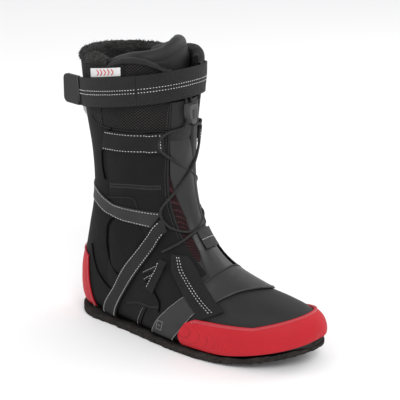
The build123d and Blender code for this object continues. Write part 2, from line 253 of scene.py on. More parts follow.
def round_back(finder):
    """The medial seam of a band that goes round behind the heel."""
    return lambda z: finder(z) - 360


def curve_through(points, t):
    """Point at t along a line of points, by length, rounded at its corners."""
    p = np.array(points, float)
    at = np.concatenate([[0], np.cumsum(np.linalg.norm(np.diff(p, axis=0), axis=1))])
    if len(p) < 3:
        return np.array([np.interp(t * at[-1], at, p[:, k]) for k in range(2)])
    total = np.zeros(2)
    for shift in (-0.06, -0.03, 0, 0.03, 0.06):
        s = min(1, max(0, t + shift * min(1, 8 * t, 8 * (1 - t)))) * at[-1]
        total += np.array([np.interp(s, at, p[:, k]) for k in range(2)]) / 5
    return total


def side_strip(first, second, side):
    """Strip on one side between two edge lines of (x, z) points, seen from the side."""
    def place(u, v, offset):
        a, b = curve_through(first, u), curve_through(second, u)
        x, z = a * (1 - v) + b * v
        y0 = 0 if x < 60 else 12 * (x - 60) / 85
        return out_from((x, y0, z), (0, side, 0), offset)
    return place


def top_strip(first, second):
    """Strip over the foot between two edge lines of (x, y) points, seen from above."""
    def place(u, v, offset):
        a, b = curve_through(first, u), curve_through(second, u)
        x, y = a * (1 - v) + b * v
        hit = form(offset).ray_cast(Vector((x, y, 200)) * MM, Vector((0, 0, -1)))[0]
        return hit / MM
    return place


FRONT_RAYS = np.array([(-68, 250, 0), (-68, 150, 0), (-52, 112, 20), (-20, 70, 38), (15, 40, 58),
                       (28, 30, 66)])


def front_point(k, y, offset):
    """Point on the front line, k from 0 at the cuff's middle to 1 on the instep."""
    x, z, tilt = [np.interp(k, (0, .6, .72, .84, .95, 1), FRONT_RAYS[:, i]) for i in range(3)]
    a = math.radians(tilt)
    return out_from((x, y, z), (math.cos(a), 0, math.sin(a)), offset)


def front_strip(k_from, k_to, half):
    """Panel down the front, square to the tongue; half is its half width as a function of k."""
    def place(u, v, offset):
        k = k_from + (k_to - k_from) * u
        left, right = half(k)
        return front_point(k, -left + (left + right) * v, offset)
    return place


def toe_fan(low, high, start, end):
    """Band round the toe between two edges (z of x), from a point inside the toe box."""
    centre, cache = (60, 6, 27), {}

    def ray(phi, tilt, offset):
        a, e = math.radians(phi), math.radians(tilt)
        return out_from(centre, (math.cos(a) * math.cos(e), math.sin(a) * math.cos(e),
                                 math.sin(e)), offset)

    def tilt_at(phi, edge):
        a, b = -50.0, 80.0
        for _ in range(14):
            middle = (a + b) / 2
            hit = ray(phi, middle, 1)
            a, b = (middle, b) if hit.z < edge(hit.x) else (a, middle)
        return a

    def place(u, v, offset):
        phi = start + (end - start) * u
        if phi not in cache:
            cache[phi] = tilt_at(phi, low), tilt_at(phi, high)
        a, b = cache[phi]
        return ray(phi, a + (b - a) * v, offset)
    return place


def vamp_saddle(x_from, x_to, turn):
    """Cloth over the toe box, in planes across the foot."""
    def place(u, v, offset):
        x = x_from + (x_to - x_from) * u
        a = math.radians(turn * (2 * v - 1))
        return out_from((x, 20 * (max(0, x) / 145) ** 2, 28), (0, math.sin(a), math.cos(a)), offset)
    return place


def sole_rise(x):
    return 18 * (max(0.0, x - 40) / 105.5) ** 2


# ---- making meshes --------------------------------------------------------------------
def finish_piece(obj, body, nodes, material):
    obj.data.materials.clear()
    obj.data.materials.append(material)
    if body:
        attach(obj, body)
    if nodes:
        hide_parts(*nodes)
    return obj


def apply_all(obj):
    bpy.context.view_layer.objects.active = obj
    for modifier in list(obj.modifiers):
        bpy.ops.object.modifier_apply(modifier=modifier.name)


def only(obj):
    bpy.ops.object.select_all(action="DESELECT")
    obj.select_set(True)
    bpy.context.view_layer.objects.active = obj


def smooth(obj, angle=55):
    only(obj)
    bpy.ops.object.shade_smooth_by_angle(angle=math.radians(angle))


def face_outwards(obj, fill=False):
    """Turns every face outwards, after closing the open edge if fill is set."""
    only(obj)
    bpy.ops.object.mode_set(mode="EDIT")
    bpy.ops.mesh.select_all(action="SELECT")
    if fill:
        bpy.ops.mesh.region_to_loop()
        bpy.ops.mesh.edge_face_add()
        bpy.ops.mesh.select_all(action="SELECT")
    bpy.ops.mesh.normals_make_consistent(inside=False)
    bpy.ops.object.mode_set(mode="OBJECT")


def reskin(obj, voxel, soften_times):
    """Modifiers that remake a mesh as one even skin, softened; voxel in millimetres."""
    skin = obj.modifiers.new("skin", "REMESH")
    skin.mode, skin.voxel_size = "VOXEL", voxel * MM
    soften = obj.modifiers.new("soften", "SMOOTH")
    soften.iterations, soften.factor = soften_times, 0.5


def roughen(obj, prefix, layers, mid_level=0.5):
    """Cloud bumps on a mesh: layers are (size, depth) in millimetres."""
    for size, depth in layers:
        texture = bpy.data.textures.new(f"{prefix}_{size}", "CLOUDS")
        texture.noise_scale, texture.noise_depth = size * MM, 2
        bump = obj.modifiers.new("bump", "DISPLACE")
        bump.texture, bump.strength, bump.texture_coords = texture, depth * MM, "LOCAL"
        bump.mid_level = mid_level


def along_profile(profile, v):
    """Point at v along a profile of evenly counted points."""
    k = min(v * (len(profile) - 1), len(profile) - 1.001)
    (a, b), t = profile[int(k):int(k) + 2], k - int(k)
    return a[0] + (b[0] - a[0]) * t, a[1] + (b[1] - a[1]) * t


def cloth(name, place, cells, outer, thick, crown=0.0, ripple=0.0, edge=0.5, levels=1,
          flare=None):
    """A piece of cloth laid on the form: a grid, given its place, wall, rolled edges."""
    along, across = cells
    bpy.ops.mesh.primitive_grid_add(x_subdivisions=along, y_subdivisions=across, size=1)
    obj = bpy.context.object
    obj.name = obj.data.name = name
    phase = rng.uniform(0, 6.3, 4)
    spots = []
    for vertex in obj.data.vertices:
        u, v = vertex.co.x + 0.5, vertex.co.y + 0.5
        swell = crown * (1 - (2 * u - 1) ** 6) * (1 - (2 * v - 1) ** 4)
        wave = (math.sin(5 * u + 7 * v + phase[0]) + math.sin(13 * u - 9 * v + phase[1])
                + 0.6 * math.sin(23 * u + 17 * v + phase[2])) * ripple / 2.6
        lift = flare(u, v) if flare else 0
        spots.append(place(u, v, round(outer, 2)) + (place(u, v, round(outer + 1, 2))
                     - place(u, v, round(outer, 2))).normalized() * (swell + wave + lift))
    for vertex, spot in zip(obj.data.vertices, spots):
        vertex.co = spot * MM
    length = sum((spots[k + 1] - spots[k]).length for k in range(along)) * MM
    width = sum((spots[(k + 1) * (along + 1)] - spots[k * (along + 1)]).length
                for k in range(across)) * MM
    for loop in obj.data.uv_layers[0].data:
        loop.uv = (loop.uv[0] * length, loop.uv[1] * width)
    outward = place(.5, .5, outer + 1) - place(.5, .5, outer)
    middle = min(obj.data.polygons, key=lambda f: (f.center / MM - place(.5, .5, outer)).length)
    if middle.normal.dot(outward) < 0:
        obj.data.flip_normals()
    wall = obj.modifiers.new("wall", "SOLIDIFY")
    wall.thickness, wall.offset, wall.use_even_offset = thick * MM, -1, False
    if edge:
        roll = obj.modifiers.new("roll", "BEVEL")
        roll.width, roll.segments, roll.limit_method = edge * MM, 2, "ANGLE"
        roll.angle_limit = math.radians(50)
    if levels:
        soft = obj.modifiers.new("soft", "SUBSURF")
        soft.levels = soft.render_levels = levels
    apply_all(obj)
    smooth(obj)
    return obj


def stitch_shape():
    """One stitch, 1 long: a short rounded bar that dips at both ends."""
    points, faces = [], []
    for x, r, dip in ((-.5, .35, -.6), (-.3, .9, 0), (0, 1, .15), (.3, .9, 0), (.5, .35, -.6)):
        points += [(x, r * math.cos(a), r * math.sin(a) + dip)
                   for a in np.arange(6) * math.pi / 3]
    for k in range(4):
        faces += [(k * 6 + j, k * 6 + (j + 1) % 6, k * 6 + 6 + (j + 1) % 6, k * 6 + 6 + j)
                  for j in range(6)]
    faces += [tuple(range(5, -1, -1)), tuple(range(24, 30))]
    return np.array(points), faces


STITCH, STITCH_FACES = stitch_shape()


def rows_to_mesh(name, bars):
    """One mesh of many stitches: bars are (middle, along, up, length, thickness)."""
    points, faces = [], []
    for middle, along, up, length, thick in bars:
        along = along.normalized()
        across = up.cross(along).normalized()
        lift = along.cross(across)
        base = len(points)
        for x, y, z in STITCH:
            points.append((middle + along * (x * length) + across * (y * thick / 2)
                           + lift * (z * thick / 2)) * MM)
        faces += [tuple(base + i for i in reversed(face)) for face in STITCH_FACES]
    mesh = bpy.data.meshes.new(name)
    mesh.from_pydata(points, [], faces)
    obj = bpy.data.objects.new(name, mesh)
    bpy.context.scene.collection.objects.link(obj)
    face_outwards(obj)
    smooth(obj, 80)
    return obj


def seam(place, path, offset, pitch=3.3, length=2.3, thick=0.55, slant=0.0, wobble=0.12):
    """Stitches along a path of (u, v) on a piece."""
    dense = [np.array(a) + (np.array(b) - np.array(a)) * t
             for a, b in zip(path, path[1:]) for t in np.linspace(0, 1, 60, endpoint=False)]
    dense.append(np.array(path[-1]))
    spots = [place(*p, offset) for p in dense]
    at = np.concatenate([[0], np.cumsum([(b - a).length for a, b in zip(spots, spots[1:])])])
    bars = []
    for s in np.arange(pitch / 2, at[-1], pitch):
        k = min(int(np.searchsorted(at, s)), len(spots) - 1)
        t = (s - at[k - 1]) / max(at[k] - at[k - 1], 1e-6)
        middle = spots[k - 1].lerp(spots[k], t)
        up = place(*dense[k], offset + 1) - spots[k]
        along = spots[k] - spots[k - 1]
        if along.length < 1e-6:
            continue
        side = up.cross(along).normalized()
        along = along.normalized() + side * (slant + rng.uniform(-wobble, wobble) * 0.5)
        bars.append((middle + side * rng.uniform(-.08, .08), along, up.normalized(),
                     length * rng.uniform(.88, 1.06), thick))
    return bars


def sew(name, bars, thread, body="upper"):
    """One mesh of stitches that rides a body."""
    return finish_piece(rows_to_mesh(name, bars), body, (), CLOTHS[thread])


def tube(name, points, radius, material, body="upper"):
    """A smooth round cord or piping through control points in millimetres, as a mesh."""
    data = bpy.data.curves.new(name, "CURVE")
    data.dimensions, data.bevel_depth, data.bevel_resolution = "3D", radius * MM, 3
    data.resolution_u = 4
    data.use_fill_caps = True
    spline = data.splines.new("NURBS")
    spline.points.add(len(points) - 1)
    for point, spot in zip(spline.points, points):
        point.co = (*(Vector(spot) * MM), 1)
    spline.order_u, spline.use_endpoint_u = 3, True
    obj = bpy.data.objects.new(name, data)
    bpy.context.scene.collection.objects.link(obj)
    only(obj)
    bpy.ops.object.convert(target="MESH")
    obj = bpy.context.object
    smooth(obj, 70)
    return finish_piece(obj, body, (), material)


def edge_points(place, path, offset, count=24):
    """Points along a path of (u, v) on a piece."""
    spots = []
    for a, b in zip(path, path[1:]):
        spots += [place(*(np.array(a) + (np.array(b) - np.array(a)) * t), offset)
                  for t in np.linspace(0, 1, count, endpoint=False)]
    return spots + [place(*path[-1], offset)]


def soft_copy(node, name, voxel, soften_times):
    """A CAD solid made again as an even soft skin."""
    obj = bpy.data.objects.new(name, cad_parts[node].data.copy())
    bpy.context.scene.collection.objects.link(obj)
    obj.data.materials.clear()
    only(obj)
    bpy.ops.object.mode_set(mode="EDIT")
    bpy.ops.mesh.select_all(action="SELECT")
    bpy.ops.mesh.remove_doubles(threshold=1e-5)
    bpy.ops.object.mode_set(mode="OBJECT")
    reskin(obj, voxel, soften_times)
    apply_all(obj)
    smooth(obj, 75)
    return obj


# ---- materials ------------------------------------------------------------------------
def put(tree, kind, inputs=(), **settings):
    """Adds a node, with settings and inputs given as values or as sockets to join."""
    node = tree.nodes.new(kind)
    for key, value in settings.items():
        setattr(node, key, value)
    for key, value in dict(inputs).items():
        if isinstance(value, bpy.types.NodeSocket):
            tree.links.new(value, node.inputs[key])
        else:
            node.inputs[key].default_value = value
    return node


def sums(tree, operation, a, b=0.0, c=0.0):
    return put(tree, "ShaderNodeMath", {0: a, 1: b, 2: c}, operation=operation).outputs[0]


def effect(name, inputs, outputs):
    """An empty node group with its named inputs and outputs."""
    tree = bpy.data.node_groups.new(name, "ShaderNodeTree")
    for label, kind, value in inputs:
        socket = tree.interface.new_socket(label, in_out="INPUT", socket_type=kind)
        if value is not None:
            socket.default_value = value
    for label, kind in outputs:
        tree.interface.new_socket(label, in_out="OUTPUT", socket_type=kind)
    return tree, tree.nodes.new("NodeGroupInput").outputs, tree.nodes.new("NodeGroupOutput").inputs


def make_mottle():
    """Uneven dye and dust: a colour between two, and a roughness that follows it."""
    tree, given, out = effect(
        "mottle",
        [("Vector", "NodeSocketVector", None), ("Dark", "NodeSocketColor", (.01, .01, .01, 1)),
         ("Light", "NodeSocketColor", (.04, .04, .04, 1)), ("Patch", "NodeSocketFloat", 40.0),
         ("Speck", "NodeSocketFloat", 900.0), ("Rough", "NodeSocketFloat", 0.8)],
        [("Color", "NodeSocketColor"), ("Roughness", "NodeSocketFloat"),
         ("Height", "NodeSocketFloat")])
    patch = put(tree, "ShaderNodeTexNoise", {"Vector": given["Vector"], "Scale": given["Patch"],
                                             "Detail": 4.0, "Roughness": 0.6}).outputs[0]
    speck = put(tree, "ShaderNodeTexNoise", {"Vector": given["Vector"], "Scale": given["Speck"],
                                             "Detail": 2.0}).outputs[0]
    both = sums(tree, "ADD", sums(tree, "MULTIPLY", patch, 0.55),
                sums(tree, "MULTIPLY", speck, 0.45))
    sharp = put(tree, "ShaderNodeMapRange",
                {"Value": both, "From Min": 0.32, "From Max": 0.68}).outputs[0]
    mix = put(tree, "ShaderNodeMix", {"Factor": sharp, "A": given["Dark"], "B": given["Light"]},
              data_type="RGBA")
    for a, b in ((given["Dark"], mix.inputs[6]), (given["Light"], mix.inputs[7])):
        tree.links.new(a, b)
    tree.links.new(mix.outputs[2], out["Color"])
    rough = sums(tree, "ADD", given["Rough"],
                 sums(tree, "MULTIPLY", sums(tree, "SUBTRACT", patch, .5), .25))
    tree.links.new(rough, out["Roughness"])
    tree.links.new(both, out["Height"])
    return tree


def make_weave():
    """Over-and-under threads, with thread counts along and across, as a height."""
    tree, given, out = effect(
        "weave", [("Vector", "NodeSocketVector", None), ("Along", "NodeSocketFloat", 900.0),
                  ("Across", "NodeSocketFloat", 900.0), ("Ribs", "NodeSocketFloat", 0.0)],
        [("Height", "NodeSocketFloat"), ("Gaps", "NodeSocketFloat")])
    split = put(tree, "ShaderNodeSeparateXYZ", {0: given["Vector"]}).outputs
    u = sums(tree, "MULTIPLY", split[0], given["Along"])
    v = sums(tree, "MULTIPLY", split[1], given["Across"])
    waves = [sums(tree, "ABSOLUTE", sums(tree, "SINE", sums(tree, "MULTIPLY", t, math.pi)))
             for t in (u, v)]
    parity = sums(tree, "FRACT", sums(tree, "MULTIPLY", sums(tree, "ADD", sums(tree, "FLOOR", u),
                                                           sums(tree, "FLOOR", v)), 0.5))
    over = sums(tree, "GREATER_THAN", parity, 0.25)
    pick = put(tree, "ShaderNodeMix", {0: over, 2: waves[0], 3: waves[1]}).outputs[0]
    rib = sums(tree, "MULTIPLY", sums(tree, "ABSOLUTE", sums(tree, "SINE", sums(
        tree, "MULTIPLY", v, math.pi * 0.25))), given["Ribs"])
    height = sums(tree, "ADD", pick, rib)
    tree.links.new(height, out["Height"])
    tree.links.new(sums(tree, "LESS_THAN", pick, 0.28), out["Gaps"])
    return tree


def make_knit():
    """Open diamond knit: crossing ribs with dark cells between them."""
    tree, given, out = effect(
        "diamond_knit", [("Vector", "NodeSocketVector", None), ("Wide", "NodeSocketFloat", 250.0),
                         ("Tall", "NodeSocketFloat", 250.0)],
        [("Height", "NodeSocketFloat"), ("Rib", "NodeSocketFloat")])
    split = put(tree, "ShaderNodeSeparateXYZ", {0: given["Vector"]}).outputs
    u = sums(tree, "MULTIPLY", split[0], given["Wide"])
    v = sums(tree, "MULTIPLY", split[1], given["Tall"])
    ribs = []
    for turned in (sums(tree, "ADD", u, v), sums(tree, "SUBTRACT", u, v)):
        ribs.append(sums(tree, "ABSOLUTE",
                         sums(tree, "SINE", sums(tree, "MULTIPLY", turned, math.pi))))
    low = sums(tree, "MINIMUM", ribs[0], ribs[1])
    rib = put(tree, "ShaderNodeMapRange", {"Value": low, "From Min": 0.12, "From Max": 0.62,
                                           "To Min": 1.0, "To Max": 0.0}).outputs[0]
    tree.links.new(rib, out["Rib"])
    tree.links.new(rib, out["Height"])
    return tree


def make_fibre():
    """Curly fibres lying in swirls, as a height and a light-dark value."""
    tree, given, out = effect(
        "fibre", [("Vector", "NodeSocketVector", None), ("Scale", "NodeSocketFloat", 160.0)],
        [("Height", "NodeSocketFloat"), ("Value", "NodeSocketFloat")])
    swirl = put(tree, "ShaderNodeTexNoise", {"Vector": given["Vector"], "Scale": given["Scale"],
                                             "Detail": 3.0, "Distortion": 2.2}).outputs[0]
    strand = put(tree, "ShaderNodeTexNoise", {
        "Vector": given["Vector"], "Scale": sums(tree, "MULTIPLY", given["Scale"], 7.0),
        "Detail": 2.0, "Distortion": 1.0}).outputs[0]
    both = sums(tree, "ADD", sums(tree, "MULTIPLY", swirl, .6), sums(tree, "MULTIPLY", strand, .4))
    tree.links.new(both, out["Height"])
    value = put(tree, "ShaderNodeMapRange",
                {"Value": both, "From Min": .35, "From Max": .65}).outputs[0]
    tree.links.new(value, out["Value"])
    return tree


MOTTLE, WEAVE, KNIT, FIBRE = make_mottle(), make_weave(), make_knit(), make_fibre()


def use_effect(tree, group, inputs):
    node = tree.nodes.new("ShaderNodeGroup")
    node.node_tree = group
    for key, value in inputs.items():
        if isinstance(value, bpy.types.NodeSocket):
            tree.links.new(value, node.inputs[key])
        else:
            node.inputs[key].default_value = value
    return node.outputs


def fabric(name, dark, light, rough, relief="grain", along=900.0, across=900.0, depth=0.25,
           sheen=0.0, coords="Object", patch=45.0, speck=900.0, tint=None, gap_dark=0.5,
           specular=0.3, ribs=0.0, distance=0.0004):
    """A cloth or moulded finish: mottled colour with its own relief."""
    material = bpy.data.materials.new(name)
    material.use_nodes = True
    tree = material.node_tree
    shader = tree.nodes["Principled BSDF"]
    where = put(tree, "ShaderNodeTexCoord").outputs
    vector = where[coords]
    base = use_effect(tree, MOTTLE, {"Vector": where["Object"], "Dark": (*dark, 1),
                                     "Light": (*light, 1), "Patch": patch, "Speck": speck,
                                     "Rough": rough})
    colour, height = base["Color"], base["Height"]
    if relief == "weave":
        made = use_effect(tree, WEAVE, {"Vector": vector, "Along": along, "Across": across,
                                        "Ribs": ribs})
        shade = put(tree, "ShaderNodeMix", {0: sums(tree, "MULTIPLY", made["Gaps"], gap_dark)},
                    data_type="RGBA")
        tree.links.new(colour, shade.inputs[6])
        shade.inputs[7].default_value = (*[c * 0.25 for c in dark], 1)
        colour, height = shade.outputs[2], made["Height"]
    elif relief == "knit":
        made = use_effect(tree, KNIT, {"Vector": vector, "Wide": along, "Tall": across})
        shade = put(tree, "ShaderNodeMix", {0: made["Rib"]}, data_type="RGBA")
        shade.inputs[6].default_value = (*(tint or [c * 0.3 for c in dark]), 1)
        tree.links.new(colour, shade.inputs[7])
        colour, height = shade.outputs[2], made["Height"]
    elif relief == "fibre":
        made = use_effect(tree, FIBRE, {"Vector": where["Object"], "Scale": along})
        shade = put(tree, "ShaderNodeMix", {0: made["Value"]}, data_type="RGBA")
        shade.inputs[6].default_value = (*[c * 0.35 for c in dark], 1)
        tree.links.new(colour, shade.inputs[7])
        colour, height = shade.outputs[2], made["Height"]
    bump = put(tree, "ShaderNodeBump", {"Height": height, "Strength": depth, "Distance": distance})
    tree.links.new(colour, shader.inputs["Base Color"])
    tree.links.new(base["Roughness"], shader.inputs["Roughness"])
    tree.links.new(bump.outputs[0], shader.inputs["Normal"])
    shader.inputs["Specular IOR Level"].default_value = specular
    shader.inputs["Sheen Weight"].default_value = sheen
    shader.inputs["Sheen Roughness"].default_value = 0.5
    return material


def grey(value, warm=0.0):
    return (value * (1 + warm), value, value * (1 - warm * 0.6))


CLOTHS = {
    "softshell": fabric("softshell", grey(.0045), grey(.0105), .72, "weave", 1500, 1500, .18,
                        specular=.16),
    "lower_softshell": fabric("lower_softshell", grey(.0045), grey(.010), .75, "weave", 1500, 1500,
                              .18, specular=.14),
    "toe_softshell": fabric("toe_softshell", grey(.012), grey(.022), .6, "weave", 1400, 1400, .15,
                            specular=.25),
    "spine": fabric("spine_cloth", grey(.0045), grey(.010), .72, "weave", 1300, 1300, .2,
                    specular=.14),
    "mesh": fabric("cuff_knit", grey(.022, .04), grey(.05, .05), .8, "knit", 300, 380, .9,
                   coords="UV", distance=.0008, specular=.15, tint=(.004, .0035, .0035)),
    "maroon_mesh": fabric("maroon_mesh", (.026, .010, .012), (.060, .024, .027), .8, "knit", 420,
                          420, .7, distance=.0006, specular=.15),
    "webbing": fabric("webbing", grey(.009), grey(.020), .78, "weave", 700, 900, .6,
                      coords="UV", distance=.0004, specular=.16),
    "grey_fabric": fabric("grey_strap_cloth", grey(.018), grey(.036), .6, "weave", 800, 900, .5,
                          coords="UV", specular=.3),
    "heel_webbing": fabric("heel_strap_webbing", grey(.012), grey(.024), .7, "weave", 800, 900, .5,
                           coords="UV", specular=.2),
    "strap_webbing": fabric("strap_webbing", grey(.011), grey(.024), .66, "weave", 600, 900, .7,
                            coords="UV", distance=.0005, ribs=.3, specular=.2),
    "tongue": fabric("tongue_cloth", grey(.007), grey(.014), .5, "weave", 1500, 1500, .12,
                     specular=.3),
    # Paler copy of the tongue cloth. The lighter colour is painted sheen and stands for the
    # highlight band down the tongue's front.
    "tongue_painted_sheen": fabric("tongue_cloth_painted_sheen", grey(.0095), grey(.019), .38, "weave", 1500, 1500,
                          .12, specular=.4),
    "plush": fabric("plush_pile", grey(.022, .03), grey(.058, .04), .9, "fibre", 130, 1, .9,
                    distance=.002, specular=.15, sheen=.05),
    "red_neoprene": fabric("red_neoprene", (.40, .004, .012), (.52, .010, .020), .6, "weave", 1300,
                           1300, .16, patch=25, specular=.3),
    "felt": fabric("sole_felt", grey(.020, .10), grey(.062, .16), .95, "fibre", 260, 1, .9,
                   distance=.0012, specular=.1),
    "thread": fabric("white_thread", grey(.52), grey(.70), .7, "grain", depth=.4, speck=3000),
    "grey_thread": fabric("grey_thread", grey(.07), grey(.13), .75, "grain", depth=.4, speck=3000),
    "dark_thread": fabric("dark_thread", grey(.006), grey(.012), .8, "grain", depth=.4, speck=3000),
    "pink_thread": fabric("pink_thread", (.40, .10, .12), (.60, .22, .24), .7, "grain", depth=.4,
                          speck=3000),
    "cord": fabric("lace_cord", grey(.014), grey(.032), .7, "weave", 700, 700, .8,
                   distance=.0004, specular=.25),
    "lock": fabric("lock_plastic", grey(.055), grey(.075), .45, "grain", depth=.12, speck=1800,
                   specular=.4),
    "button": fabric("button_plastic", grey(.035), grey(.05), .45, "grain", depth=.12, speck=1800,
                     specular=.4),
    "tab": fabric("tab_rubber", grey(.007), grey(.013), .5, "grain", depth=.25, speck=1600,
                  specular=.3),
    "label": fabric("label_cloth", grey(.60), grey(.72), .65, "weave", 1600, 1600, .2, coords="UV",
                    gap_dark=.06),
    "label_red": fabric("label_print", (.50, .02, .02), (.62, .035, .035), .6, "grain", depth=.1),
    "loop_web": fabric("pale_loop_web", grey(.62), grey(.78), .5, "weave", 900, 900, .4,
                       gap_dark=.1),
    "foam": fabric("foam_cells", grey(.012), grey(.022), .9, "grain", depth=.5, speck=1400,
                   specular=.15),
    "hook_loop": fabric("hook_and_loop", grey(.006), grey(.015), .9, "fibre", 500, 1, .8,
                        distance=.0008, specular=.15),
    "piping": fabric("piping_cloth", grey(.010), grey(.022), .65, "weave", 1200, 1200, .3,
                     specular=.2),
    # Near-black and matte: painted shade, laid as thin rolls in the grooves of seams and folds.
    "groove": fabric("seam_groove_painted_shade", grey(.0015), grey(.003), .9, "grain", depth=.2, specular=.05),
    "board": fabric("insole_board_fibre", grey(.06, .2), grey(.10, .2), .9, "fibre", 300, 1, .4),
    "steel": fabric("spring_steel", grey(.35), grey(.45), .3, "grain", depth=.05, speck=2500,
                    specular=.7),
    "print": fabric("pale_print", grey(.22), grey(.32), .6, "grain", depth=.1, speck=2500),
}


make_camera()
make_studio()

# ---- lace -----------------------------------------------------------------------------
LACE_ROUTE = [
    (-.024, .0315, .154), (-.014, .022, .162), (-.0072, .010, .1695), (-.0068, 0, .1765),
    (-.0095, -.013, .186), (-.015, -.0255, .196), (-.0185, -.031, .2015), (-.019, -.033, .209),
    (-.0165, -.031, .216), (-.012, -.023, .2205), (-.0085, -.013, .2215), (-.0066, -.006, .223),
    (-.006, -.0036, .2285), (-.006, -.0036, .240), (-.0072, -.0036, .251), (-.010, -.0036, .262),
    (-.012, -.0036, .272), (-.012, .0036, .272), (-.010, .0036, .262), (-.0072, .0036, .251),
    (-.006, .0036, .240), (-.006, .0036, .2285), (-.0066, .006, .223), (-.0085, .013, .2215),
    (-.012, .023, .2205), (-.0165, .031, .216), (-.019, .033, .209), (-.0185, .031, .2015),
    (-.015, .0255, .1955), (-.0085, .0135, .186), (-.0037, 0, .177), (-.0055, -.0105, .1675),
    (-.0105, -.020, .155), (-.0165, -.0275, .145), (-.0195, -.031, .1375), (-.0165, -.031, .1295),
    (-.009, -.0285, .122), (.002, -.0205, .118), (.0078, -.0128, .117), (.0082, 0, .122),
    (.002, .0135, .127), (-.008, .0235, .1285), (-.0175, .0305, .127), (-.017, .031, .1205),
    (-.0075, .025, .1185), (.004, .0135, .120), (.0115, 0, .1195), (.011, -.0135, .1175),
    (.0045, -.0265, .108), (-.011, -.0375, .098),
]
LACE_DIAMETER = 0.0028


def make_lace():
    data = bpy.data.curves.new("lace_cord", "CURVE")
    data.dimensions, data.bevel_depth, data.bevel_resolution = "3D", LACE_DIAMETER / 2, 4
    data.resolution_u, data.use_fill_caps = 8, True
    spline = data.splines.new("NURBS")
    spline.points.add(len(LACE_ROUTE) - 1)
    for point, spot in zip(spline.points, LACE_ROUTE):
        point.co = (*spot, 1)
    spline.order_u, spline.use_endpoint_u = 3, True
    lace = bpy.data.objects.new("lace_cord", data)
    bpy.context.scene.collection.objects.link(lace)
    finish_piece(lace, "upper", ["lace"], CLOTHS["cord"])


make_lace()


# ---- covers ---------------------------------------------------------------------------
THROAT_HALF, SPINE_X, COLLAR_X = 21, -76, -66
SIDES = ((LATERAL, "lateral"), (MEDIAL, "medial"))
front_limit = {side: phi_at_y(THROAT_HALF, side) for side, _ in SIDES}


def cuff_top(x):
    """Height of the knit panel's top edge, low behind and at its front corner."""
    return float(np.interp(x, (-78, -72, -66, -58, -48, -36, -26, -18, -12),
                           (283, 283, 283.5, 288, 291.5, 292.5, 291, 287, 281)))


def quarter_front(z):
    """x of the side panel's front edge below the throat."""
    return float(np.interp(z, (6, 66, 84, 100), (40, 20, 38, 60)))


def pad_panel(name, place, cells, outer, thick, crown, ripple, nodes, finish,
              edge=.5):
    panel = cloth(name, place, cells, outer, thick, crown, ripple, edge)
    finish_piece(panel, "upper", nodes, CLOTHS[finish])
    return panel


def cuff_rim(side):
    """Padded roll over the top of the cuff, from its outside to its inside."""
    start, end = phi_at_x(COLLAR_X + 1, side), phi_at_y(THROAT_HALF + 1, side)
    profile = [(.8, -2.4), (.9, -.8), (.2, .8), (-2, 1.9), (-5, 1.8), (-8, -.4), (-9.2, -5),
               (-9.2, -20)]

    def place(u, v, offset):
        out, up = along_profile(profile, v)
        phi = start(285) + (end(285) - start(285)) * u
        top = cuff_top(round_point(phi, 285, 0).x)
        return round_point(phi, top + up, round(out * 4) / 4 + offset)
    return place


def make_covers():
    for side, name in SIDES:
        knit = belt(phi_at_x(SPINE_X + .2, side), front_limit[side], 221.4, cuff_top)
        pad_panel(f"knit_panel_{name}", knit, (44, 30), 0, 1.0, .5, .25,
                  [f"cuff_mesh_{name}"], "mesh")
        rim = cuff_rim(side)
        obj = cloth(f"cuff_rim_{name}", rim, (44, 21), 0, 1.0, 0, .2, edge=0)
        finish_piece(obj, "upper", (), CLOTHS["piping"])

        def front(z, side=side):
            by_y, by_x = front_limit[side](z), phi_at_x(quarter_front(z), side)(z)
            return by_y if z > 86 else side * max(abs(by_y), abs(by_x))
        rear = line((0, -84), (66, -84), (110, SPINE_X), (300, SPINE_X))
        quarter = belt(phi_at_x(rear, side), front, lambda x: 6.6 + sole_rise(x), 221)
        pad_panel(f"side_panel_{name}", quarter, (44, 84), 0, 1.0, .5, .45,
                  [f"quarter_{name}"], "softshell")
    rear = line((0, -84.4), (66, -84.4), (110, SPINE_X - .2), (300, SPINE_X - .2))
    spine = belt(phi_at_x(rear, LATERAL), round_back(phi_at_x(rear, MEDIAL)), 8, 283.5)
    pad_panel("spine_cover", spine, (56, 96), -.1, 1.0, .6, .4, ["spine_panel"],
              "spine")
    pad_panel("toe_box_cover", vamp_saddle(16, 143.5, 108), (60, 60), -.4, .9, .3, .3,
              ["vamp"], "toe_softshell")


RAND_TOP = line((19, 12.8), (24, 26), (31, 36), (42, 42), (76, 43.5), (100, 44), (118, 49),
                (150, 58))


def make_rands():
    toe = toe_fan(lambda x: 10.5 + sole_rise(x), RAND_TOP, -124, 139)
    pad_panel("toe_rand_cover", toe, (120, 14), 2.6, 2.3, 1.3, .12, ["toe_rand"],
              "red_neoprene", .9)
    bars = seam(toe, [(.05, .93), (.95, .93)], 3.35, 1.9, 3.2, .6, slant=2.2, wobble=.6)
    sew("toe_rand_whipstitch", bars, "pink_thread")
    edge_line = line((8, -105), (20, -107), (40, -111), (62, -112), (80, -111))
    heel = belt(phi_at_x(edge_line, LATERAL), round_back(phi_at_x(edge_line, MEDIAL)), 9.5,
                line((-155, 78), (-125, 74), (-112, 70)))
    pad_panel("heel_rand_cover", heel, (40, 24), 1.9, 1.7, .6, .15, ["heel_rand"],
              "red_neoprene", .7)
    bars = [bar for path in ([(.0, .02), (.0, .98)], [(1, .02), (1, .98)], [(.02, 1), (.98, 1)])
            for bar in seam(heel, path, 2.3, 2.3, 3.4, .6, slant=2.0, wobble=.4)]
    sew("heel_rand_whipstitch", bars, "pink_thread")


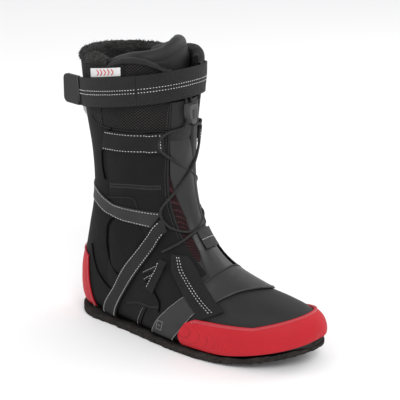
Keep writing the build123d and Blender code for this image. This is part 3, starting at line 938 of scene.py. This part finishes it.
# ---- webbing straps -------------------------------------------------------------------
def strap(name, place, cells, outer, thick, rows, finish, nodes, body="upper",
          thread="thread", crown=0.0, pitch=3.2, ripple=.15, edge=.45, slim=.75, flare=None):
    """A strap with its rows of stitches; rows are paths of (u, v)."""
    obj = cloth(name, place, cells, outer, thick, crown, ripple, edge, flare=flare)
    finish_piece(obj, body, nodes, CLOTHS[finish])

    def lifted(u, v, offset):
        if not flare:
            return place(u, v, offset)
        base = place(u, v, round(outer, 2))
        out = (place(u, v, round(outer + 1, 2)) - base).normalized()
        return base + out * (flare(u, v) + offset - outer)
    bars = [bar for row in rows
            for bar in seam(lifted, row, outer + .2 + crown * .4, pitch, pitch * .54, slim)]
    if bars:
        sew(f"{name}_stitches", bars, thread, body)
    return obj


def ease(a, b, value):
    t = min(1, max(0, (value - a) / (b - a)))
    return t * t * (3 - 2 * t)


def make_straps():
    for side, name in SIDES:
        calf = side_strip([(-80, 196), (-15.5, 199)], [(-74, 218), (-15.5, 220)], side)
        strap(f"calf_strap_cloth_{name}", calf, (40, 10), 1.8, 1.6,
              [[(.02, .1), (.95, .1)], [(.02, .9), (.95, .9)], [(.975, .05), (.975, .95)]],
              "webbing", [f"calf_strap_{name}"],
              flare=lambda u, v: 4.4 * ease(.74, .86, u) * (1 - .45 * ease(.97, 1, u)))
        left = [(-15, 132), (-23, 123), (-40, 96), (-60, 71), (-74, 45), (-88, 27), (-97, 9)]
        right = [(-9, 119), (-25, 91), (-38, 72), (-48, 57), (-59, 40), (-67, 26), (-76, 9)]
        heel = side_strip(left, right, side)
        strap(f"heel_strap_cloth_{name}", heel, (72, 10), 3.6, 1.6,
              [[(.03, .1), (.99, .1)], [(.03, .9), (.99, .9)]], "heel_webbing",
              [f"heel_strap_{name}"],
              flare=lambda u, v: 3.8 * (1 - ease(.06, .18, u)) * (1 - .5 * (1 - ease(0, .03, u))))
        middle = side_strip([(-21, 9), (-8, 30), (8, 47), (25, 63)], [(10, 9), (24, 26), (41, 49)],
                            side)
        strap(f"midfoot_strap_cloth_{name}", middle, (30, 14), 1.8, 1.6,
              [[(.02, .03), (.98, .03)], [(.02, .97), (.98, .97)]], "grey_fabric",
              [f"midfoot_strap_{name}"], thread="thread", pitch=1.9, crown=.4, slim=.4)
        instep = side_strip([(-1, 98), (3, 82), (22, 64), (48, 43)],
                            [(15, 97), (34, 80), (57, 62), (70, 55)], side)
        strap(f"instep_strap_cloth_{name}", instep, (44, 16), 3.8, 1.6,
              [[(.02, .34), (.5, .40), (.95, .50)], [(.02, .46), (.5, .52), (.95, .62)]],
              "webbing", [f"vamp_strap_{name}"], slim=.7)
        low = side_strip([(-11, 92), (-26, 58)], [(-2, 90), (-16, 54)], side)
        strap(f"low_loop_cloth_{name}", low, (20, 8), 2.4, 1.8, [[(.1, .12), (.95, .12)]],
              "webbing", [f"low_loop_{name}"],
              flare=lambda u, v: 3.0 * (1 - ease(.1, .35, u)))
        for k, ends in enumerate((([(-31, 74), (-12, 86)], [(-33, 70), (-13, 81)]),
                                  ([(-29, 67), (-14, 78)], [(-30, 63), (-15, 73)]))):
            tie = side_strip(*ends, side)
            strap(f"loop_tie_{name}_{k}", tie, (12, 4), 2.2, 1.2, [[(.05, .2), (.95, .2)]],
                  "webbing", (), pitch=2.6, slim=.5)
        pad = side_strip([(-80, 70), (-72, 62), (-62, 64), (-48, 82), (-40, 96)],
                         [(-78, 112), (-70, 121), (-56, 122), (-42, 121), (-33, 110)], side)
        pad_panel(f"ankle_pad_cloth_{name}", pad, (24, 24), .6, 1.4, 2.2, .1,
                  [f"ankle_pad_{name}"], "lower_softshell", .9)
    end_x = line((119, -29), (136, -19))
    ankle = belt(phi_at_x(end_x, LATERAL), round_back(phi_at_x(end_x, MEDIAL)),
                 line((-140, 142), (-97, 134), (-83, 127), (-60, 122), (-29, 119.4)),
                 line((-140, 158), (-97, 151), (-70, 139), (-30, 136), (-19, 136)))
    strap("ankle_strap_cloth", ankle, (110, 10), 1.8, 1.6,
          [[(.01, .1), (.99, .1)], [(.01, .9), (.99, .9)]], "grey_fabric",
          ["ankle_strap"])
    band = top_strip([(37, -36), (42, -24), (46, -5), (45, 14), (40, 29)],
                     [(56, -38), (66, -26), (78, -4), (85, 16), (83, 30)])
    # The band takes the paler tongue cloth: partly its own lighter grey, partly painted highlight.
    strap("forefoot_band_cloth", band, (34, 22), 2.4, 2.2, [[(.02, .975), (.98, .975)]],
          "tongue_painted_sheen", ["forefoot_band"], thread="grey_thread", crown=.8,
          edge=.8, pitch=2.6)
    tube("forefoot_band_piping", edge_points(band, [(0, .0), (1, .0)], 2.6, 14), .9,
         material=CLOTHS["grey_fabric"])


make_covers()
make_rands()
make_straps()


# ---- seams, painted groove shade and piping on the covers -----------------------------
def seam_line(name, points, side, radius=.55, finish="groove", offset=.6, rows=(), thread=None,
              pitch=2.8, slim=.45, slant=0.0, length=None):
    """A sewn line through (x, z) points on one side: a thin roll and rows of stitches by it. With
    the near-black groove finish, the roll is painted shade in the seam's groove.
    """
    path = side_strip(points, points, side)
    tube(name, edge_points(path, [(0, 0), (1, 0)], offset, 22), radius, material=CLOTHS[finish])
    if thread:
        bars = []
        for dx, dz in rows:
            moved = [(x + dx, z + dz) for x, z in points]
            row = side_strip(moved, moved, side)
            bars += seam(row, [(.01, 0), (.99, 0)], offset + .25, pitch, length or pitch * .6, slim,
                         slant=slant)
        sew(f"{name}_stitches", bars, thread)


def make_seams():
    for side, name in SIDES:
        seam_line(f"spine_seam_{name}", [(-63, 222), (-68, 217), (-75, 209), (-81, 194), (-82, 176),
                                         (-79, 164)], side, .9)
        seam_line(f"zigzag_seam_{name}", [(-73, 159), (-48, 162), (-30, 161.5), (-20, 162)], side,
                  .6, "piping", .7, [(0, 1.6), (0, -1.6)], "grey_thread", 2.2, .45, 1.1, 2.2)
        seam_line(f"embossed_line_{name}", [(-77, 145), (-60, 148), (-48, 149.5), (-44, 146),
                                            (-43, 139)], side, .7, "piping", .8)
        seam_line(f"heel_curve_{name}", [(-107, 86), (-104, 70), (-99, 57), (-89, 47), (-77, 41),
                                         (-70, 38)], side, .8)
        seam_line(f"ankle_groove_{name}", [(-70, 124), (-80, 116), (-83, 92), (-79, 72), (-68, 60),
                                           (-58, 62)], side, 1.0)
        seam_line(f"midfoot_seam_{name}", [(-29, 68), (-17, 60), (-5, 47), (-6, 37)], side, .9,
                  "groove", .6)
        seam_line(f"arch_seam_{name}", [(-54, 33), (-38, 38), (-18, 38.5), (-5, 42)], side, .6,
                  "piping", .7, [(0, 1.3)], "grey_thread", 2.4, .4)
        seam_line(f"arch_stitch_{name}", [(-29, 36), (-37, 22), (-44, 8)], side, .5, "piping", .6,
                  [(0, 0)], "thread", 3.0, .6)
        seam_line(f"arch_fold_{name}", [(-24, 36), (-32, 21), (-39, 8)], side, .7, "groove", .6)
        eyestay = lambda u, v, offset, side=side: front_point(u, side * (THROAT_HALF + .5), offset)
        tube(f"eyestay_piping_{name}", edge_points(eyestay, [(.0, 0), (.80, 0)], .3, 40), 1.25,
             material=CLOTHS["piping"])
        bars = seam(lambda u, v, o, side=side: front_point(u, side * (THROAT_HALF + 2.6), o),
                    [(.02, 0), (.78, 0)], .35, 2.8, 1.7, .4)
        sew(f"eyestay_stitches_{name}", bars, "grey_thread")
        rim = cuff_rim(side)
        tube(f"cuff_piping_{name}", edge_points(rim, [(.02, .12), (1, .12)], .5, 40), .9,
             material=CLOTHS["piping"])
    arc = [(-94, 229), (-88, 224), (-80, 221.5), (-66, 221), (-40, 221), (-16, 221)]
    for side, name in SIDES:
        seam_line(f"knit_edge_{name}", arc, side, .6, "piping", .7, [(0, -2)], "dark_thread", 2.6,
                  .45)
        fill = side_strip([(-99, 262), (-94, 229), (-86, 223), (-76.5, 221.5)],
                          [(-99, 283), (-90, 283), (-82, 283), (-76, 283)], side)
        piece = cloth(f"knit_rear_{name}", fill, (20, 24), .35, .5, 0, .1, edge=.2)
        finish_piece(piece, "upper", (), CLOTHS["mesh"])


make_seams()


# ---- tongue ---------------------------------------------------------------------------
def taper(*rows):
    """Left and right half widths as a function of k."""
    a = np.array(rows, float)
    return lambda k: (float(np.interp(k, a[:, 0], a[:, 1])), float(np.interp(k, a[:, 0], a[:, 2])))


def make_tongue():
    face = front_strip(.235, .975, taper((.2, 20, 20), (.45, 19.5, 19.5), (.6, 15.5, 16),
                                         (.72, 12, 15), (.84, 14, 16), (.97, 24, 18)))
    panel = cloth("tongue_front", face, (70, 22), -.2, 1.8, 2.6, .25, edge=.7)
    # The front panel takes the paler tongue cloth, which paints a highlight over the whole panel.
    finish_piece(panel, None, ["tongue_face", "tongue_pad"], CLOTHS["tongue_painted_sheen"])
    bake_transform(panel)
    top = front_strip(0, .245, taper((0, 20.2, 20.2), (1, 20.2, 20.2)))
    panel = cloth("tongue_upper", top, (30, 22), .3, 1.8, 1.6, .2, edge=.7)
    finish_piece(panel, "tongue", (), CLOTHS["tongue"])
    bars = seam(top, [(.93, .04), (.93, .96)], .9, 2.6, 1.8, .5, slant=.8)
    sew("tongue_cross_stitches", bars, "dark_thread", "tongue")
    ridge = front_strip(.02, .80, taper((0, -6, 20), (.45, -6, 19), (.6, -5, 16), (.8, -6, 13)))
    panel = cloth("tongue_ridge", ridge, (70, 8), 1.6, 2.2, 1.6, .2, edge=.8)
    finish_piece(panel, None, (), CLOTHS["tongue"])
    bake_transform(panel)
    for side, name in SIDES:
        inner = line((.25, 18), (.46, 17.5), (.6, 13.5), (.72, 11), (.84, 12), (.9, 15))

        def lay(u, v, offset, side=side, inner=inner):
            k = .46 + (.885 - .46) * u
            a = inner(k)
            outer = 22 + 4 * ease(.74, .84, k)
            return front_point(k, side * (a + (outer - a) * v), offset)
        mesh = cloth(f"throat_mesh_{name}", lay, (60, 8), -.5, .8, .3, .15, edge=.2)
        finish_piece(mesh, "upper", [f"gusset_{name}"], CLOTHS["maroon_mesh"])
    keeper = front_strip(.775, .85, taper((0, 9, 13), (1, 9, 13)))
    strap("lace_keeper_cloth", keeper, (12, 16), 5.2, 1.4, [[(.5, .03), (.5, .97)]],
          "grey_fabric", ["lace_keeper"], body="tongue", pitch=2.2)


make_tongue()


def make_tongue_top():
    """The padded top of the tongue, wrapping round inside the cuff."""
    tops = line((-128, 284), (-100, 292), (-72, 297), (-45, 299), (-20, 301), (0, 304.5),
                (22, 308), (48, 308), (72, 301), (128, 288))

    def place(u, v, swell):
        angle = -122 + 244 * u
        turn, top, thick = math.radians(angle), tops(angle), 12.5
        straight, bend = .40, 6.0
        if v < straight:
            z, inward = 262 + (top - bend - 262) * v / straight, 0.0
        elif v > 1 - straight:
            z, inward = 262 + (top - bend - 262) * (1 - v) / straight, thick
        else:
            a = (v - straight) / (1 - 2 * straight) * math.pi
            z, inward = top - bend + bend * math.sin(a), thick / 2 * (1 - math.cos(a))
        lean = (z - 262) / 50
        belly = 2.4 * math.sin(math.pi * min(1, lean))
        a = 43.5 - 10 * lean - inward + swell + belly
        b = 38.5 - 2 * lean - inward + swell + belly * .7
        box = (abs(math.cos(turn)) ** 2.6 + abs(math.sin(turn)) ** 2.6) ** (-1 / 2.6)
        return Vector((-63 + a * math.cos(turn) * box, b * math.sin(turn) * box, z))
    bpy.ops.mesh.primitive_grid_add(x_subdivisions=72, y_subdivisions=44, size=1)
    obj = bpy.context.object
    obj.name = obj.data.name = "tongue_cap"
    for vertex in obj.data.vertices:
        u, v = vertex.co.x + .5, vertex.co.y + .5
        wave = .35 * math.sin(9 * u + 4 * v) + .25 * math.sin(21 * u + 3)
        vertex.co = place(u, v, wave) * MM
    face_outwards(obj, fill=True)
    reskin(obj, 1.3, 6)
    apply_all(obj)
    smooth(obj, 80)
    finish_piece(obj, "tongue", ["tongue_top"], CLOTHS["tongue"])
    for name, v_at in (("outer", .36), ("inner", .64)):
        bars = seam(place, [(.03, v_at), (.5, v_at), (.97, v_at)], .5, 2.8, 1.8, .4)
        sew(f"tongue_cap_stitches_{name}", bars, "dark_thread", "tongue")
    tube("tongue_cap_piping", edge_points(place, [(.005, .02), (.005, .5)], .4, 30), .8,
         body="tongue", material=CLOTHS["piping"])


make_tongue_top()


# ---- plush collar and lining ----------------------------------------------------------
def make_collar():
    """Thick pile collar round the back of the cuff."""
    start, end = phi_at_x(COLLAR_X - 1, LATERAL), phi_at_x(COLLAR_X - 1, MEDIAL)
    profile = [(.8, 283), (.2, 287), (-1.8, 290.5), (-5, 293), (-9.5, 293.8), (-13.5, 291.5),
               (-16, 286.5), (-15, 276), (-10, 268)]
    lift = line((0, -3), (.12, .5), (.25, 1.5), (.4, .5), (.5, -.5), (.75, -2), (1, -2))

    def place(u, v, offset):
        out, z = along_profile(profile, v)
        z += lift(u) * ease(283, 292, z)
        phi = start(290) + (end(290) - 360 - start(290)) * u
        return round_point(phi, z, round(out * 2) / 2 + offset)
    obj = cloth("pile_collar", place, (90, 24), 0, 2.0, 0, .2, edge=0, levels=0)
    reskin(obj, 1.1, 5)
    roughen(obj, "pile", ((9, 2.4), (3.2, 1.5)))
    apply_all(obj)
    smooth(obj, 80)
    finish_piece(obj, "upper", ["plush_collar"], CLOTHS["plush"])
    tufts(obj, "pile_tufts", 7000, 2.6, .45)


def tufts(skin, name, count, length, width):
    """Short curled hairs standing on a skin."""
    mesh = skin.data
    areas = np.array([p.area for p in mesh.polygons])
    chosen = rng.choice(len(areas), count, p=areas / areas.sum())
    points, faces = [], []
    for k in chosen:
        poly = mesh.polygons[int(k)]
        root, normal = poly.center / MM, poly.normal
        lean = Vector(rng.normal(0, 1, 3))
        swirl = Vector((math.sin(root.y * .22 + root.z * .13), math.cos(root.x * .2),
                        math.sin(root.x * .17)))
        way = (normal * .5 + lean * .3 + swirl * .55).normalized()
        side = way.cross(normal).normalized() * width / 2
        other = way.cross(side).normalized() * width / 2
        curl = Vector(rng.normal(0, .35, 3)) * length * .4
        size = length * rng.uniform(.6, 1.2)
        base = len(points)
        for t, w in ((0, 1), (.5, .8)):
            spine = root - normal * .5 + way * size * t + curl * t * t
            points += [(spine + side * w) * MM, (spine - (side - other * 1.7) * w * .5) * MM,
                       (spine - (side + other * 1.7) * w * .5) * MM]
        points.append((root - normal * .2 + way * size + curl) * MM)
        for j in range(3):
            n = (j + 1) % 3
            faces += [(base + j, base + n, base + 3 + n, base + 3 + j),
                      (base + 3 + j, base + 3 + n, base + 6)]
        faces.append((base + 2, base + 1, base))
    mesh = bpy.data.meshes.new(name)
    mesh.from_pydata(points, [], faces)
    obj = bpy.data.objects.new(name, mesh)
    bpy.context.scene.collection.objects.link(obj)
    face_outwards(obj)
    smooth(obj, 80)
    return finish_piece(obj, "upper", (), CLOTHS["plush"])


make_collar()


# ---- sole -----------------------------------------------------------------------------
def make_sole():
    """Rough felt sole: the CAD sole's lip drawn down to an uneven edge."""
    lip, spread, squeeze = 7.6, 2, .3
    obj = soft_copy("outsole", "felt_sole", 1.6, 3)
    for vertex in obj.data.vertices:
        x, y, z = vertex.co / MM
        rise = sole_rise(x)
        limit = lip + 1.0 * math.sin(x * .07 + y * .05) + .6 * math.sin(x * .23 + 2) - spread
        if z - rise > limit:
            vertex.co.z = (rise + limit + (z - rise - limit) * squeeze) * MM
    roughen(obj, "felt", ((5, 1.3), (1.8, .9)), .55)
    apply_all(obj)
    for vertex in obj.data.vertices:
        vertex.co.z = max(vertex.co.z, 0)
    smooth(obj, 80)
    finish_piece(obj, "upper", ["outsole"], CLOTHS["felt"])


make_sole()


# ---- cuff strap, tab, labels ----------------------------------------------------------
def make_cuff_strap():
    low, high = (lambda x: 253.5 + .15 * x), (lambda x: 283.5 + .15 * x)
    rows = [[(.005, .43), (.995, .43)], [(.005, .55), (.995, .55)]]
    around = belt(phi_at_x(-34.05, LATERAL), phi_at_x(-112, MEDIAL), low, high)
    strap("cuff_strap_band", around, (90, 12), 5.2, 2.0, rows, "strap_webbing",
          ["cuff_strap"], edge=.12, pitch=3.0)
    free = belt(phi_at_x(-112, LATERAL), phi_at_x(-34.2, LATERAL), low, high)
    strap("cuff_strap_free_end", free, (40, 12), 5.2, 2.0, rows, "strap_webbing",
          ["strap_free_end"], body="strap_end", edge=.12, pitch=3.0)
    wrap = belt(phi_at_x(-111.5, LATERAL), phi_at_x(-106, LATERAL), low, high)
    finish_piece(cloth("strap_end_fold", wrap, (6, 12), 6.4, 1.2, .3, .1, .4), "strap_end",
                 (), CLOTHS["tab"])


make_cuff_strap()


def make_labels():
    lateral = side_strip([(-88, 270.4), (-48, 277)], [(-88, 279.5), (-48, 285.5)], LATERAL)
    backing = side_strip([(-95, 266), (-44, 274)], [(-95, 283), (-44, 289)], LATERAL)
    piece = cloth("label_band", backing, (20, 8), 1.3, .9, .2, .1, .3)
    finish_piece(piece, "upper", (), CLOTHS["softshell"])
    inner = side_strip([(-64, 268), (-38, 271)], [(-64, 284), (-38, 285)], MEDIAL)
    for name, place, outer, node in (("lateral", lateral, 1.9, "label_lateral"),
                                     ("medial", inner, -10.4, "label_medial")):
        tag = cloth(f"size_label_{name}", place, (16, 5), outer, .5, 0, .05, edge=.15)
        finish_piece(tag, "upper", [node], CLOTHS["label"])
        facing = outer + .1 if outer > 0 else outer - .6
        bars = []
        for k in range(5):
            a = .26 + .12 * k
            bars += seam(place, [(a, .18), (a + .06, .5), (a, .82)], facing, 1.3, 1.8, 1.0,
                         wobble=0)
        sew(f"label_chevrons_{name}", bars, "label_red")


make_labels()


def make_emblem():
    """A plain square of bars on each midfoot strap."""
    for side, name in SIDES:
        spot = side_strip([(-16, 14), (2, 14)], [(-10, 34), (8, 34)], side)
        bars = []
        for path in ([(.3, .25), (.7, .25)], [(.7, .25), (.7, .75)], [(.7, .75), (.3, .75)],
                     [(.3, .75), (.3, .25)], [(.4, .5), (.6, .5)]):
            bars += seam(spot, path, 2.4, 1.5, 1.6, .5, wobble=0)
        sew(f"strap_emblem_{name}", bars, "print")


make_emblem()


# ---- cord lock ------------------------------------------------------------------------
LOCK_SHELL = (.0094, .0126, .0195)


def make_lock():
    """Shield-shaped cord lock: wide at the shoulders, narrow at the foot."""
    low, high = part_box("lock_body")
    middle = (low + high) / 2
    bpy.ops.mesh.primitive_cube_add(size=1, location=middle)
    obj = bpy.context.object
    obj.name = obj.data.name = "lock_shell"
    obj.scale = LOCK_SHELL
    bpy.ops.object.transform_apply(location=True, rotation=False, scale=True)
    only(obj)
    bpy.ops.object.mode_set(mode="EDIT")
    bpy.ops.mesh.select_all(action="SELECT")
    bpy.ops.mesh.subdivide(number_cuts=5)
    bpy.ops.object.mode_set(mode="OBJECT")
    for vertex in obj.data.vertices:
        down = (middle.z + .0098 - vertex.co.z) / LOCK_SHELL[2]
        narrow = 1 - .52 * ease(.52, 1.0, down) - .12 * (1 - ease(0, .18, down))
        vertex.co.y *= narrow
        vertex.co.x += .0006 * math.cos((vertex.co.y) / .007 * 1.4) if vertex.co.x > middle.x else 0
    bevel = obj.modifiers.new("bevel", "BEVEL")
    bevel.width, bevel.segments, bevel.limit_method = .0011, 3, "ANGLE"
    bevel.angle_limit = math.radians(50)
    soft = obj.modifiers.new("soft", "SUBSURF")
    soft.levels = soft.render_levels = 1
    apply_all(obj)
    smooth(obj, 60)
    finish_piece(obj, "lock", ["lock_body"], CLOTHS["lock"])


make_lock()


# ---- CAD pieces that keep their shape -------------------------------------------------
KEPT = {
    "insole_board": "board", "footbed": "foam", "foam_shell": "foam", "plush_lining": "plush",
    "heel_counter": "board", "tongue_wings": "tongue", "strap_hook_patch": "hook_loop",
    "strap_loop_patch": "hook_loop", "strap_anchor": "webbing", "pull_tab": "tab",
    "rear_pull_loop": "loop_web", "lock_button": "button", "lock_spring": "steel",
}
for node, finish in KEPT.items():
    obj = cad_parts[node]
    obj.data.materials.clear()
    obj.data.materials.append(CLOTHS[finish])
